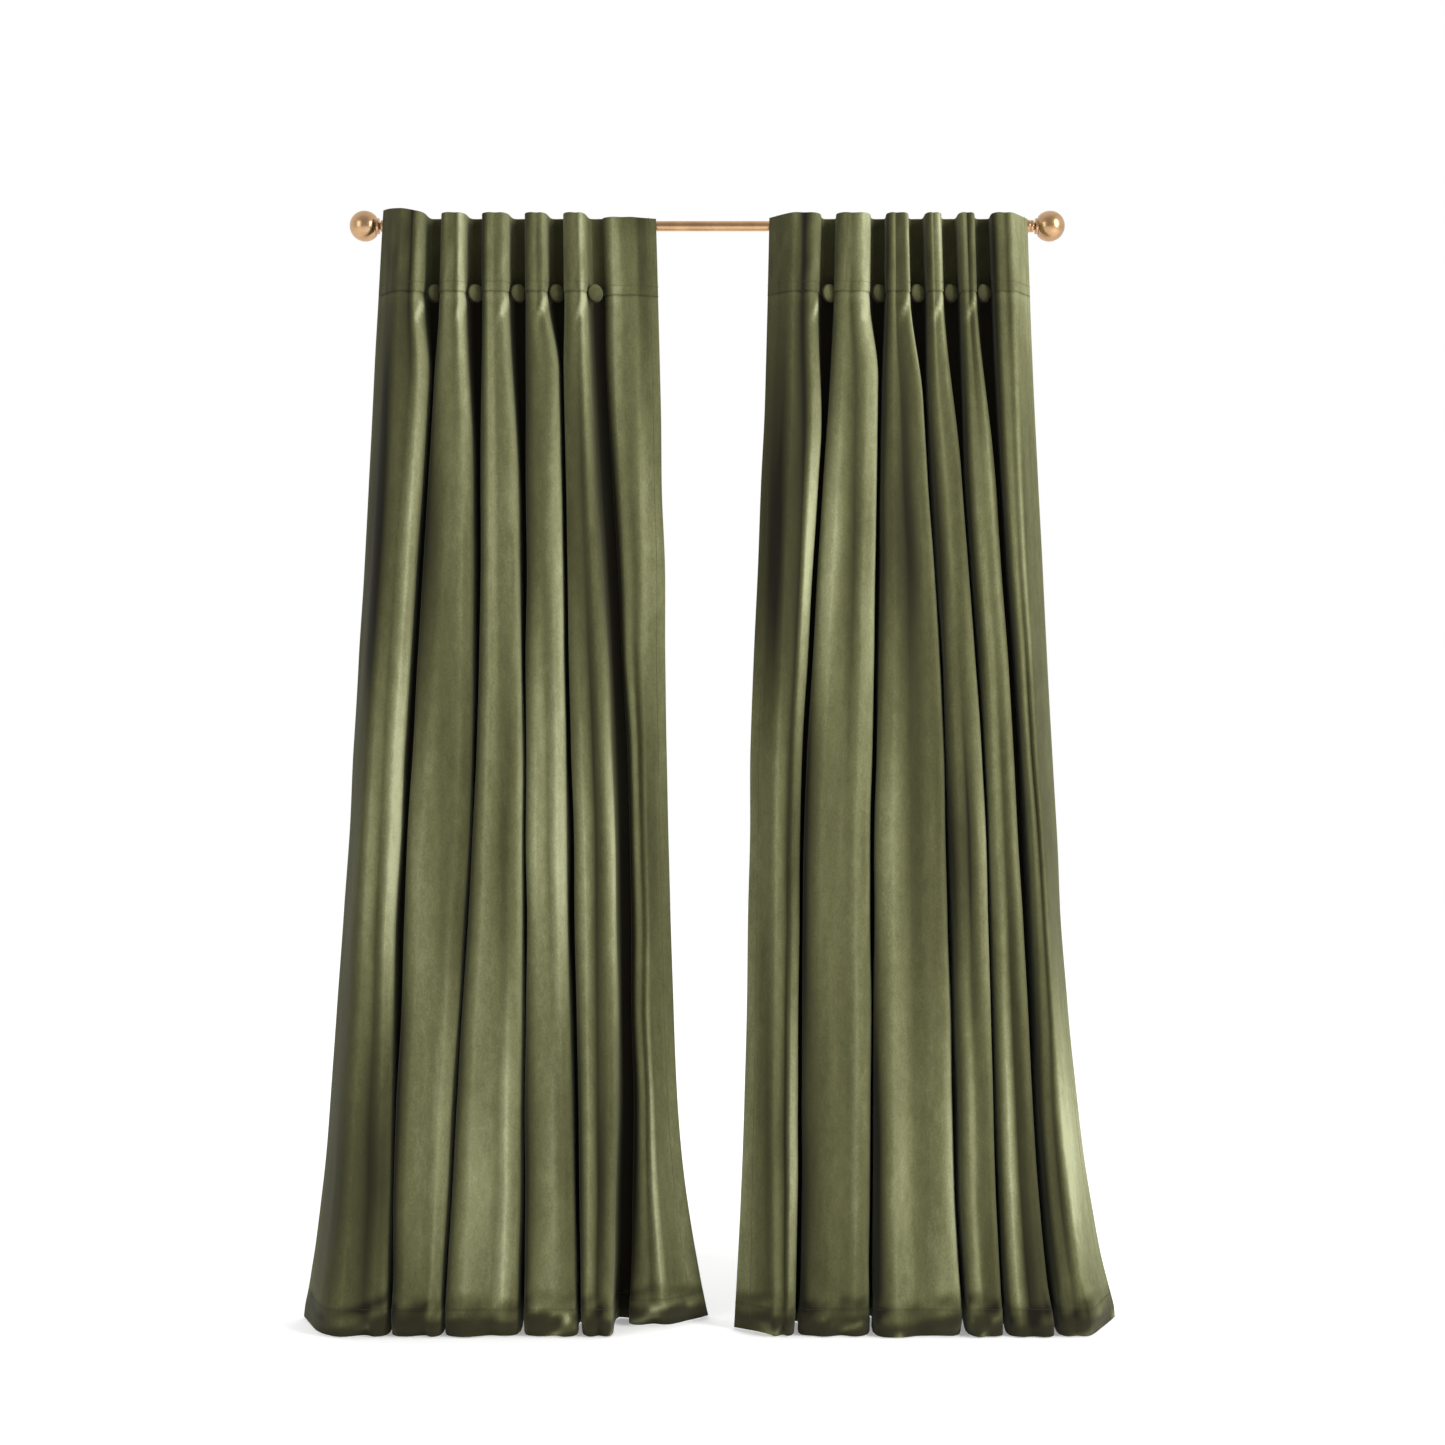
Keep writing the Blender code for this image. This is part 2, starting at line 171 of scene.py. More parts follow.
# The steepest lean that the blend between two recesses may have, as X for each metre of height.
MOST_LEAN = 0.12
LEANS_TRIED = 97

# The velvet's colour from its deepest painted shade to its lightest painted light.
VELVET_TONES = (
    (0.00, (0.0090, 0.0078, 0.0038)),
    (0.12, (0.0290, 0.0275, 0.0112)),
    (0.34, (0.0620, 0.0615, 0.0250)),
    (0.56, (0.1080, 0.1100, 0.0480)),
    (0.78, (0.1980, 0.2020, 0.1030)),
    (1.00, (0.3550, 0.3680, 0.2150)),
)


# ---------------------------------------------------------------- shader expressions


# Places of a colour Mix node's sockets, whose names are shared by its other data types.
MIX_LOW, MIX_HIGH, MIX_OUT = 6, 7, 2


def rgb(value):
    return isinstance(value, (tuple, list)) and len(value) in (3, 4)


def feed(tree, socket, value):
    """Gives a socket its link, its colour or its value."""
    if isinstance(value, Sock):
        tree.links.new(value.socket, socket)
    elif rgb(value) and socket.type == "RGBA":
        socket.default_value = (*value[:3], 1.0)
    else:
        socket.default_value = value


def add_node(tree, kind, settings=None, inputs=None):
    """Makes any node: its settings first, then the value or the link of each socket, by name or place."""
    node = tree.nodes.new(kind)
    for key, value in (settings or {}).items():
        if key == "stops":
            ramp = node.color_ramp
            while len(ramp.elements) < len(value):
                ramp.elements.new(0.5)
            for element, (place, colour) in zip(ramp.elements, value):
                element.position = place
                element.color = (*colour, 1.0)
        else:
            setattr(node, key, value)
    for key, value in (inputs or {}).items():
        feed(tree, node.inputs[key], value)
    return node


class Sock:
    """A node's socket that takes part in Python expressions."""

    def __init__(self, tree, socket):
        self.tree = tree
        self.socket = socket

    def fed(self, out, kind, settings, inputs):
        """The out socket of a new node in this socket's tree."""
        return Sock(self.tree, add_node(self.tree, kind, settings, inputs).outputs[out])

    def math(self, operation, *others):
        return self.fed(0, "ShaderNodeMath", {"operation": operation}, dict(enumerate((self, *others))))

    def __add__(self, other):
        return self.math("ADD", other)

    def __sub__(self, other):
        return self.math("SUBTRACT", other)

    def __mul__(self, other):
        return self.math("MULTIPLY", other)

    def __radd__(self, other):
        return self.math("ADD", other)

    def __rmul__(self, other):
        return self.math("MULTIPLY", other)

    def __rsub__(self, other):
        return self.math("MULTIPLY", -1.0).math("ADD", other)

    def clamped(self):
        return self.math("MAXIMUM", 0.0).math("MINIMUM", 1.0)

    def ramp(self, low, high, bottom=0.0, top=1.0):
        """bottom below low, top above high, smooth between."""
        span = {"From Min": low, "From Max": high, "To Min": bottom, "To Max": top, "Value": self}
        return self.fed("Result", "ShaderNodeMapRange", {"interpolation_type": "SMOOTHSTEP"}, span)

    def colours(self, stops):
        """A colour from stops of (place, colour)."""
        return self.fed("Color", "ShaderNodeValToRGB", {"stops": stops}, {"Fac": self})

    def mix(self, low, high):
        """A colour between low, where this is 0, and high, where it is 1."""
        inputs = {0: self, MIX_LOW: low, MIX_HIGH: high}
        return self.fed(MIX_OUT, "ShaderNodeMix", {"data_type": "RGBA"}, inputs)


class Finish:
    """A material under construction."""

    def __init__(self, name, **settings):
        self.material = bpy.data.materials.new(name)
        self.material.use_nodes = True
        self.tree = self.material.node_tree
        self.shader = self.tree.nodes["Principled BSDF"]
        for key, value in settings.items():
            self.put(key.replace("_", " "), value)

    def put(self, name, value):
        feed(self.tree, self.shader.inputs[name], value)

    def node(self, kind, settings=None, **inputs):
        named = {key.replace("_", " "): value for key, value in inputs.items()}
        return add_node(self.tree, kind, settings, named)

    def out(self, node, name=0):
        return Sock(self.tree, node.outputs[name])

    def place(self):
        return self.out(self.node("ShaderNodeTexCoord"), "Object")

    def attribute(self, name):
        return self.out(self.node("ShaderNodeAttribute", {"attribute_name": name}), "Fac")

    def stretched(self, x, y, z, source=None):
        mapping = self.node("ShaderNodeMapping", Vector=source or self.place(), Scale=(x, y, z))
        return self.out(mapping, "Vector")

    def noise(self, scale, detail=2.0, roughness=0.5, where=None):
        node = self.node(
            "ShaderNodeTexNoise",
            Scale=scale,
            Detail=detail,
            Roughness=roughness,
            Vector=where or self.place(),
        )
        return self.out(node, 0)

    def bump(self, height, strength, distance):
        node = self.node("ShaderNodeBump", Strength=strength, Distance=distance, Height=height)
        self.put("Normal", self.out(node, "Normal"))


# ---------------------------------------------------------------- materials


def velvet(name, stops, rim):
    """Cut pile. An attribute on the mesh carries the painted light and shade, with random mottle, and the
    stops turn it to colour.
    """
    finish = Finish(name, Roughness=0.9, Metallic=0.0)
    finish.put("Specular IOR Level", 0.15)
    finish.put("Sheen Weight", 0.12)
    finish.put("Sheen Roughness", 0.4)
    finish.put("Sheen Tint", rim)
    nap = finish.attribute("nap")
    streak = finish.noise(18.0, 3.0, 0.6, finish.stretched(1.0, 1.0, 0.10))
    crush = finish.noise(34.0, 3.0, 0.65, finish.stretched(1.0, 1.0, 0.5))
    brushed = finish.noise(110.0, 2.0, 0.6, finish.stretched(1.0, 1.0, 0.35))
    speckle = finish.noise(340.0, 2.0, 0.7, finish.stretched(1.0, 1.0, 0.6))
    mottle = (streak - 0.5) * 0.24 + (crush - 0.5) * 0.18 + (brushed - 0.5) * 0.16 + (speckle - 0.5) * 0.26
    # Random mottle is laid over the painted light, faded out in the deepest painted shade.
    tone = (nap + nap.ramp(0.02, 0.4) * mottle).clamped()
    finish.put("Base Color", tone.colours(stops))
    pile = finish.noise(2600.0, 1.0, 0.5)
    finish.bump(pile * 0.4 + speckle * 0.5 + crush * 1.2, 0.4, 0.0008)
    return finish.material


def woven_back(name, light, dark):
    """The plain woven reverse."""
    finish = Finish(name, Roughness=0.85, Metallic=0.0)
    finish.put("Specular IOR Level", 0.2)
    warp = finish.node(
        "ShaderNodeTexWave",
        {"wave_type": "BANDS", "bands_direction": "X"},
        Scale=520.0,
        Distortion=0.6,
        Vector=finish.place(),
    )
    weft = finish.node(
        "ShaderNodeTexWave",
        {"wave_type": "BANDS", "bands_direction": "Z"},
        Scale=520.0,
        Distortion=0.6,
        Vector=finish.place(),
    )
    threads = finish.out(warp, "Fac") * 0.5 + finish.out(weft, "Fac") * 0.5
    slub = finish.noise(60.0, 3.0, 0.6)
    finish.put("Base Color", (threads * 0.5 + slub * 0.5).ramp(0.25, 0.75).mix(dark, light))
    finish.bump(threads, 0.3, 0.0003)
    return finish.material


def sewing_thread(name, light, dark):
    finish = Finish(name, Roughness=0.7, Metallic=0.0)
    twist = finish.noise(1400.0, 2.0, 0.5)
    finish.put("Base Color", twist.ramp(0.35, 0.65).mix(dark, light))
    finish.bump(twist, 0.4, 0.0002)
    return finish.material


def metal(name, light, dark, roughness, wear=0.05):
    finish = Finish(name, Metallic=1.0)
    cloudy = finish.noise(22.0, 4.0, 0.6)
    grain = finish.noise(900.0, 2.0, 0.5, finish.stretched(0.05, 1.0, 1.0))
    finish.put("Base Color", cloudy.ramp(0.3, 0.7).mix(dark, light))
    finish.put("Roughness", (cloudy - 0.5) * wear + (grain - 0.5) * wear + roughness)
    finish.bump(grain, 0.04, 0.0002)
    return finish.material


# ---------------------------------------------------------------- small mesh tools


def mesh_object(name, points, faces, materials):
    mesh = bpy.data.meshes.new(name)
    mesh.from_pydata([tuple(p) for p in points], [], faces)
    for material in materials:
        mesh.materials.append(material)
    mesh.shade_smooth()
    obj = bpy.data.objects.new(name, mesh)
    bpy.context.scene.collection.objects.link(obj)
    return obj


def lathe(name, profile, origin, direction, material, around=96):
    """Turns (radius, height) points about an axis and writes the place into the mesh."""
    points = []
    faces = []
    rings = []
    for radius, height in profile:
        if radius == 0:
            rings.append([len(points)])
            points.append((0, 0, height))
            continue
        ring = []
        for i in range(around):
            angle = 2 * math.pi * i / around
            ring.append(len(points))
            points.append((radius * math.cos(angle), radius * math.sin(angle), height))
        rings.append(ring)
    pairs = list(zip(rings, rings[1:]))
    if len(rings[0]) > 1 and len(rings[-1]) > 1:
        pairs.append((rings[-1], rings[0]))
    for low, high in pairs:
        if len(low) == 1 and len(high) == 1:
            continue
        for i in range(around):
            j = (i + 1) % around
            if len(low) == 1:
                faces.append((low[0], high[j], high[i]))
            elif len(high) == 1:
                faces.append((low[i], low[j], high[0]))
            else:
                faces.append((low[i], low[j], high[j], high[i]))
    turn = Vector(direction).to_track_quat("Z", "Y").to_matrix().to_4x4()
    place = Matrix.Translation(origin) @ turn
    points = [place @ Vector(p) for p in points]
    obj = mesh_object(name, points, faces, [material])
    bm = bmesh.new()
    bm.from_mesh(obj.data)
    bmesh.ops.recalc_face_normals(bm, faces=bm.faces)
    bm.to_mesh(obj.data)
    bm.free()
    obj.data.set_sharp_from_angle(angle=math.radians(38))
    return obj


def rounded(profile, radius, steps=4):
    """Rounds each corner of an open profile of (radius, height) points."""
    points = [Vector(p) for p in profile]
    result = [tuple(points[0])]
    for before, point, after in zip(points, points[1:], points[2:]):
        back = before - point
        on = after - point
        cut = min(radius, back.length * 0.45, on.length * 0.45)
        start = point + back.normalized() * cut
        end = point + on.normalized() * cut
        for i in range(steps + 1):
            t = i / steps
            result.append(tuple((1 - t) ** 2 * start + 2 * t * (1 - t) * point + t * t * end))
    result.append(tuple(points[-1]))
    return result


def value_noise(u, v, seed):
    """Smooth noise from -1 to 1 at lattice coordinates u and v."""
    lattice = np.random.default_rng(seed).uniform(-1, 1, (257, 257))
    i = np.floor(u).astype(int)
    j = np.floor(v).astype(int)
    a = u - i
    b = v - j
    a = a * a * (3 - 2 * a)
    b = b * b * (3 - 2 * b)
    i0, i1, j0, j1 = i % 256, (i + 1) % 256, j % 256, (j + 1) % 256
    top = lattice[i0, j0] * (1 - a) + lattice[i1, j0] * a
    low = lattice[i0, j1] * (1 - a) + lattice[i1, j1] * a
    return top * (1 - b) + low * b


def down_noise(rows_z, pace, offset, lane, seed):
    """Noise that changes only with height, its own for each lane."""
    return value_noise(rows_z * pace + offset, np.full_like(rows_z, lane), seed)


def waves(u, v, recipe, seed):
    """The sum of a recipe's waves over the cloth."""
    return sum(
        height * value_noise(u * wide + offset, v * long, seed + extra)
        for height, wide, long, offset, extra in recipe
    )


def smoothstep(low, high, value):
    t = np.clip((value - low) / (high - low), 0, 1)
    return t * t * (3 - 2 * t)


def bell(distance, reach):
    """1 at no distance, falling to nothing within about twice the reach."""
    return np.exp(-((distance / reach) ** 2))


def monotone(levels, values, at):
    """A smooth curve through values at levels that never overshoots. levels fall along the list."""
    x = -np.asarray(levels, float)
    y = np.asarray(values, float)
    h = np.diff(x)
    slope = np.diff(y) / h
    tangent = np.zeros_like(y)
    tangent[0], tangent[-1] = slope[0], slope[-1]
    for i in range(1, len(y) - 1):
        if slope[i - 1] * slope[i] > 0:
            w1 = 2 * h[i] + h[i - 1]
            w2 = h[i] + 2 * h[i - 1]
            tangent[i] = (w1 + w2) / (w1 / slope[i - 1] + w2 / slope[i])
    q = np.clip(-np.asarray(at, float), x[0], x[-1])
    k = np.clip(np.searchsorted(x, q, side="right") - 1, 0, len(h) - 1)
    t = (q - x[k]) / h[k]
    h00 = (1 + 2 * t) * (1 - t) ** 2
    h10 = t * (1 - t) ** 2
    h01 = t * t * (3 - 2 * t)
    h11 = t * t * (t - 1)
    return h00 * y[k] + h10 * h[k] * tangent[k] + h01 * y[k + 1] + h11 * h[k] * tangent[k + 1]


def across(points, per_span):
    """A centripetal curve through the fold lines of each row. points is rows x lines x 2."""
    first = 2 * points[:, :1] - points[:, 1:2]
    last = 2 * points[:, -1:] - points[:, -2:-1]
    p = np.concatenate([first, points, last], axis=1)
    knots = np.sqrt(np.linalg.norm(np.diff(p, axis=1), axis=2)) + 1e-6
    knots = np.concatenate([np.zeros((len(p), 1)), np.cumsum(knots, axis=1)], axis=1)
    result = []
    for i in range(1, p.shape[1] - 2):
        t0, t1, t2, t3 = (knots[:, i + k, None] for k in (-1, 0, 1, 2))
        for step in range(per_span):
            t = t1 + (t2 - t1) * step / per_span
            a1 = (t1 - t) / (t1 - t0) * p[:, i - 1] + (t - t0) / (t1 - t0) * p[:, i]
            a2 = (t2 - t) / (t2 - t1) * p[:, i] + (t - t1) / (t2 - t1) * p[:, i + 1]
            a3 = (t3 - t) / (t3 - t2) * p[:, i + 1] + (t - t2) / (t3 - t2) * p[:, i + 2]
            b1 = (t2 - t) / (t2 - t0) * a1 + (t - t0) / (t2 - t0) * a2
            b2 = (t3 - t) / (t3 - t1) * a2 + (t - t1) / (t3 - t1) * a3
            result.append((t2 - t) / (t2 - t1) * b1 + (t - t1) / (t2 - t1) * b2)
    result.append(points[:, -1])
    return np.stack(result, axis=1)


# ---------------------------------------------------------------- the panels


def row_heights():
    """Heights of the cloth's rows, from the top edge to the start of the hem's break, closer at the seam."""
    heights = list(np.arange(HEADER_TOP, FLOOR + HEM_BREAK, -ROW_STEP))
    for line in (SEAM, SEAM + SECOND_STITCH):
        heights += [line + d for d in (-0.005, -0.0025, -0.001, 0, 0.001, 0.0025, 0.005)]
    heights = sorted(set(round(h, 5) for h in heights), reverse=True)
    kept = [heights[0]]
    for h in heights[1:]:
        if kept[-1] - h > 0.0008:
            kept.append(h)
    return np.array(kept)


def cut_at(node, height):
    """Where a CAD cloth's surface crosses a height, as X and depth."""
    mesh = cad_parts[node].data
    points = np.empty(len(mesh.vertices) * 3)
    mesh.vertices.foreach_get("co", points)
    points = points.reshape(-1, 3)
    ends = np.empty(len(mesh.edges) * 2, np.int32)
    mesh.edges.foreach_get("vertices", ends)
    a, b = points[ends[0::2]], points[ends[1::2]]
    crossing = (a[:, 2] - height) * (b[:, 2] - height) < 0
    a, b = a[crossing], b[crossing]
    t = ((height - a[:, 2]) / (b[:, 2] - a[:, 2]))[:, None]
    crossed = a + (b - a) * t
    return crossed[:, 0], ROD_Y - crossed[:, 1]


def measured_fold(node, height):
    """A fold of the frame at one height: the (X, depth) of five places across it, from left to right."""
    x, depth = cut_at(node, height)
    left, right = x.min(), x.max()
    on_left = x < (left + right) / 2
    back = depth[on_left].min()
    recess = on_left & (depth < back + CAD_CLOTH * 1.2)
    past_recess = x > x[recess].mean()
    front = depth[past_recess].max()
    on_front = past_recess & (depth > front - CAD_CLOTH * 1.2)
    middle = front - CAD_CLOTH / 2
    return {
        "left": (left, depth[x < left + CAD_CLOTH].mean()),
        "recess": (x[recess].mean(), back + CAD_CLOTH / 2),
        "rise": (x[on_front].min(), middle),
        "last": (x[on_front].max(), middle),
        "right": (right, depth[x > right - CAD_CLOTH].mean()),
    }


def shut_at(recess, rows_z, seed):
    """How far the folds have closed over a recess at each height, from 0 at the heading."""
    closing = np.random.default_rng([seed, recess]).uniform(*SHUT_OVER)
    wander = down_noise(rows_z, 1.6, 120, recess * 0.79, seed + 23)
    return (FOLDS_SHUT + SHUT_WANDER * wander) * smoothstep(SEAM, SEAM - closing, rows_z)


def fold_lines(word, rows_z, seed):
    """The panel's folds as lines down the cloth, from left to right: a name, then X, depth and painted light
    and shade by row.
    """
    nodes = [f"{word}_cloth_{k}" for k in range(1, PIECES + 1)]
    low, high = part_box(nodes[0])
    heights = np.linspace(high[2] - 0.001, low[2] + 0.001, MEASURED_HEIGHTS)
    measured = [[measured_fold(node, height) for height in heights] for node in nodes]

    def down(piece, part):
        values = np.array([fold[part] for fold in measured[piece]])
        # The frame's cloth bends at its few levels. Averaging neighbours rounds those bends.
        for _ in range(SMOOTHING_PASSES):
            values[1:-1] = (values[:-2] + 2 * values[1:-1] + values[2:]) / 4
        return tuple(monotone(heights, values[:, axis], rows_z) for axis in (0, 1))

    fall = smoothstep(SEAM, FLOOR, rows_z)
    lines = []

    def line(name, role, x, depth, wander_seed):
        wander = down_noise(rows_z, 1.7, 90, wander_seed * 0.73, seed + 20)
        # A recess gets painted shade, eased at the heading; the other parts get their painted light,
        # wandering down the fold.
        if role == "recess":
            painted_light = PAINTED_LIGHT_BY_PART[role] + RECESS_SHADE_EASED_AT_HEADING * smoothstep(SEAM - 0.004, SEAM + 0.004, rows_z)
        else:
            painted_light = PAINTED_LIGHT_BY_PART[role] + PAINTED_LIGHT_WANDER * wander
        lines.append((name, x, depth, np.clip(painted_light, 0, 1)))

    for piece in range(PIECES):
        number = piece + 1
        if piece == 0:
            edge_x, edge_depth = down(0, "left")
            line("edge", "edge", edge_x, edge_depth, 1)
        else:
            x, depth = down(piece, "recess")
            line(f"recess {piece}", "recess", x, depth, 1)
        rise_x, front = down(piece, "rise")
        if piece < PIECES - 1:
            flank_x, flank_depth = down(piece + 1, "left")
        else:
            flank_x, flank_depth = down(piece, "last")
        # Below the heading the folds fall shut over their recesses, each at its own height.
        if piece > 0:
            rise_x = rise_x + shut_at(piece, rows_z, seed) * (down(piece, "recess")[0] + HALF_SLIT - rise_x)
        # The fold beside the left panel's flat end isn't shut on that side.
        if piece < PIECES - 1 and not (word == "left" and piece == PIECES - 2):
            to_slit = down(piece + 1, "recess")[0] - HALF_SLIT - flank_x
            flank_x = flank_x + shut_at(piece + 1, rows_z, seed) * to_slit
        width = flank_x - rise_x
        crease = DIP_AT + DIP_WANDER * down_noise(rows_z, 1.3, 60, number * 0.61, seed + 21)
        strength = 0.5 + 0.5 * down_noise(rows_z, 2.2, 30, number * 0.87, seed + 22)
        dip = (DIP_AT_HEADING + (DIP_AT_HEM - DIP_AT_HEADING) * fall) * strength
        line(f"rise {number}", "rise", rise_x, front - FOLD_ROUNDING, number * 5)
        line(f"crown {number}", "crown", rise_x + CROWN_AT * width, front + 0.002, number * 5 + 1)
        line(f"dip {number}", "dip", rise_x + crease * width, front - dip, number * 5 + 2)
        line(f"shoulder {number}", "shoulder", rise_x + SHOULDER_AT * width, front + 0.001, number * 5 + 3)
        line(f"flank {number}", "flank", flank_x, np.minimum(flank_depth, front - 0.004), number * 5 + 4)
    edge_x, edge_depth = down(PIECES - 1, "right")
    line("end", "edge", edge_x, edge_depth, 2)
    return lines


def squared_recesses(xs, ds, sheen, names):
    """Gives each recess a flat back with steep sides, by a line on each side of its middle."""
    columns = []
    for i, name in enumerate(names):
        if not name.startswith("recess"):
            columns.append((name, xs[:, i], ds[:, i], sheen[:, i]))
            continue
        for side, other in ((-1, i - 1), (0, i), (1, i + 1)):
            offset = RECESS_FLAT * (xs[:, other] - xs[:, i]) if side else 0
            label = name if side == 0 else f"{name} side"
            columns.append((label, xs[:, i] + offset, ds[:, i] - 0.001 * (side == 0), sheen[:, i]))
    names = [column[0] for column in columns]
    return (*(np.stack([column[k] for column in columns], axis=1) for k in (1, 2, 3)), names)


def panel_surface(word, seed):
    """The panel's middle surface: points, normals, cloth coordinates, recess columns and the painted light
    and shade.
    """
    upper = row_heights()
    u = np.arange(1, HEM_BREAK_ROWS + 1) / HEM_BREAK_ROWS
    rows_z = np.concatenate([upper, upper[-1] + (FLOOR - upper[-1]) * u])
    bend = np.concatenate([np.zeros(len(upper)), u])
    lines = fold_lines(word, rows_z, seed)
    names = [line[0] for line in lines]
    xs, ds, sheen = (np.stack([line[part] for line in lines], axis=1) for part in (1, 2, 3))
    xs, ds, sheen, names = squared_recesses(xs, ds, sheen, names)
    curve = across(np.stack([xs, ds], axis=2), COLUMNS_PER_SPAN)
    x, depth = curve[..., 0], curve[..., 1]
    between = np.arange(x.shape[1]) / COLUMNS_PER_SPAN
    sheen = np.stack([np.interp(between, np.arange(len(names)), row) for row in sheen])
    z = np.repeat(rows_z[:, None], x.shape[1], axis=1)

    # Cloth coordinates: v down the panel, u along a row, from the row half-way down.
    middle = len(rows_z) // 2
    steps = np.hypot(np.diff(x[middle]), np.diff(depth[middle]))
    along = np.concatenate([[0], np.cumsum(steps)])
    down = HEADER_TOP - rows_z + bend * HEM_EXTRA
    uu = np.repeat(along[None], len(rows_z), axis=0)
    vv = np.repeat(down[:, None], x.shape[1], axis=1)

    # The top edge's own rise at the outer corner.
    width = along[-1]
    z += CORNER_RISE[word] * smoothstep(0.16 * width, 0, uu) * smoothstep(-0.14, 0.0, z)

    # Soft irregular waves down the folds, growing towards the hem.
    fall = smoothstep(-0.16, -0.6, z)
    depth += fall * waves(uu, vv, DEPTH_WAVES, seed)
    x += fall * waves(uu, vv, SIDE_WAVES, seed)
    depth += smoothstep(FLOOR + 0.20, FLOOR + 0.05, z) * waves(uu, vv, CRUMPLES, seed)

    # The heading's stitched line pulls the cloth in, and puckers run away from it.
    pull = bell(z - SEAM, 0.0022) + 0.5 * bell(z - SEAM - SECOND_STITCH, 0.0018)
    depth -= 0.0012 * pull
    pucker = np.exp(-np.abs(z - SEAM) / 0.012)
    depth += 0.0007 * pucker * value_noise(uu * 110, vv * 4, seed + 3)

    # Each button pulls a crease down to its left and a hollow straight under it, with painted highlight on
    # the crease and fan and painted shade in the hollow.
    for k in range(1, PIECES):
        low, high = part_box(f"{word}_button_{k}")
        across_it = x - (low[0] + high[0]) / 2
        below = z - SEAM
        crease = bell(across_it + 0.011 - 0.35 * below, 0.0055) * bell(below + 0.030, 0.020)
        fan = bell(across_it - 0.004 + 0.25 * below, 0.0040) * bell(below + 0.020, 0.014)
        hollow = bell(across_it, 0.006) * bell(below + 0.017, 0.010)
        on_front = smoothstep(0.030, 0.045, depth)
        depth += 0.0032 * PUCKER * on_front * (crease - hollow + 0.5 * fan)
        sheen += PUCKER * on_front * (0.34 * crease - 0.30 * hollow + 0.22 * fan)
    # The cloth puffs out just under the seam, with painted highlight on the puff and painted shade along the
    # seam line.
    puff = bell(z - SEAM + 0.010, 0.006)
    depth += 0.0012 * puff
    sheen += 0.06 * puff - 0.12 * bell(z - SEAM, 0.0016)

    # The side hems and the bottom hem are doubled, with a groove along their stitching. The side hem bands
    # get a little painted light and every groove painted shade.
    length = down[-1]
    for from_edge in (uu, width - uu):
        groove = bell(from_edge - SIDE_HEM, GROOVE)
        depth -= 0.0009 * groove
        sheen += 0.07 * smoothstep(SIDE_HEM + 0.002, SIDE_HEM - 0.002, from_edge) - 0.16 * groove
    groove = bell(length - vv - HEM_STITCH, GROOVE)
    depth -= 0.0010 * groove
    sheen -= 0.18 * groove

    # Where the hem meets the floor the cloth is too long, so it bows out and its edge tucks back under.
    bow = bend[:, None]
    lean = 0.75 + 0.45 * value_noise(uu * 9, 0 * vv + 3, seed + 4)
    depth += 0.016 * lean * np.sin(math.pi * bow**1.6) ** 2
    depth -= 0.014 * lean * smoothstep(0.82, 1.0, bow)
    depth += 0.0050 * smoothstep(0.1, 0.9, bow) * value_noise(uu * 34, bow * 3.0 + uu * 6, seed + 5)
    ripple = 1 + value_noise(uu * 16, 0 * vv, seed + 6)
    z += 0.005 * smoothstep(0.55, 1.0, bow) * ripple * bow * (1.02 - bow) * 4
    z = np.maximum(z, FLOOR + 0.0016)

    # The furthest folds are pressed back, smoothly, to stay within the model's depth.
    room = FRONT_LIMIT - FRONT_KNEE
    depth = np.where(depth > FRONT_KNEE, FRONT_KNEE + room * np.tanh((depth - FRONT_KNEE) / room), depth)
    points = np.stack([x, ROD_Y - depth, z], axis=2)
    du = np.gradient(points, axis=1)
    dv = np.gradient(points, axis=0)
    normals = np.cross(du, -dv)
    normals /= np.linalg.norm(normals, axis=2, keepdims=True)
    cuts = [names.index(f"recess {k}") * COLUMNS_PER_SPAN for k in range(1, PIECES)]
    return points, normals, np.stack([uu, vv], axis=2), cuts, sheen


def mottle_and_painted_light(normals, points, sheen, seed, cloth):
    """How light the velvet is painted: the listed painted light and shade, more painted light on faces turned
    to the right, random mottle and painted shade on the bent hem.
    """
    # Painted light on faces turned to the right, added to the listed painted light and shade.
    right = normals[..., 0]
    light = 0.82 * sheen + 0.18 * (0.25 + 0.75 * smoothstep(0.1, 0.8, right))
    light = 0.45 + 1.50 * (light - 0.45)
    u, v = cloth[..., 0], cloth[..., 1]
    open_cloth = smoothstep(0.03, 0.25, sheen)
    light += open_cloth * 0.07 * value_noise(u * 14, v * 3, seed + 7)
    light += open_cloth * 0.06 * value_noise(u * 55, v * 5, seed + 8)
    heading = smoothstep(SEAM, SEAM + 0.004, points[..., 2])
    light += open_cloth * heading * 0.07 * value_noise(u * 75 + v * 12, v * 22, seed + 10)
    # The bent hem gets painted shade, with painted highlights and shade along its creases.
    height = points[..., 2] - FLOOR - 0.016 * value_noise(u * 11, 0 * v, seed + 16)
    low = smoothstep(0.084, 0.060, height)
    edge = smoothstep(0.046, 0.026, height)
    painted_crease_light = value_noise(u * 46, v * 40 + u * 22, seed + 9)
    light += low * (-0.34 * light + 0.20 * painted_crease_light)
    light += edge * (-0.88 * light + 0.06 + 0.95 * np.maximum(painted_crease_light, 0) ** 3)
    return np.clip(light, 0, 1)


def thickness_of(cloth, width, length):
    u, v = cloth[..., 0], cloth[..., 1]
    header = v < HEADER_TOP - SEAM
    hem = v > length - HEM_STITCH
    side = (u < SIDE_HEM) | (u > width - SIDE_HEM)
    return np.where(header, HEADER_CLOTH, np.where(hem | side, HEM_CLOTH, CLOTH))


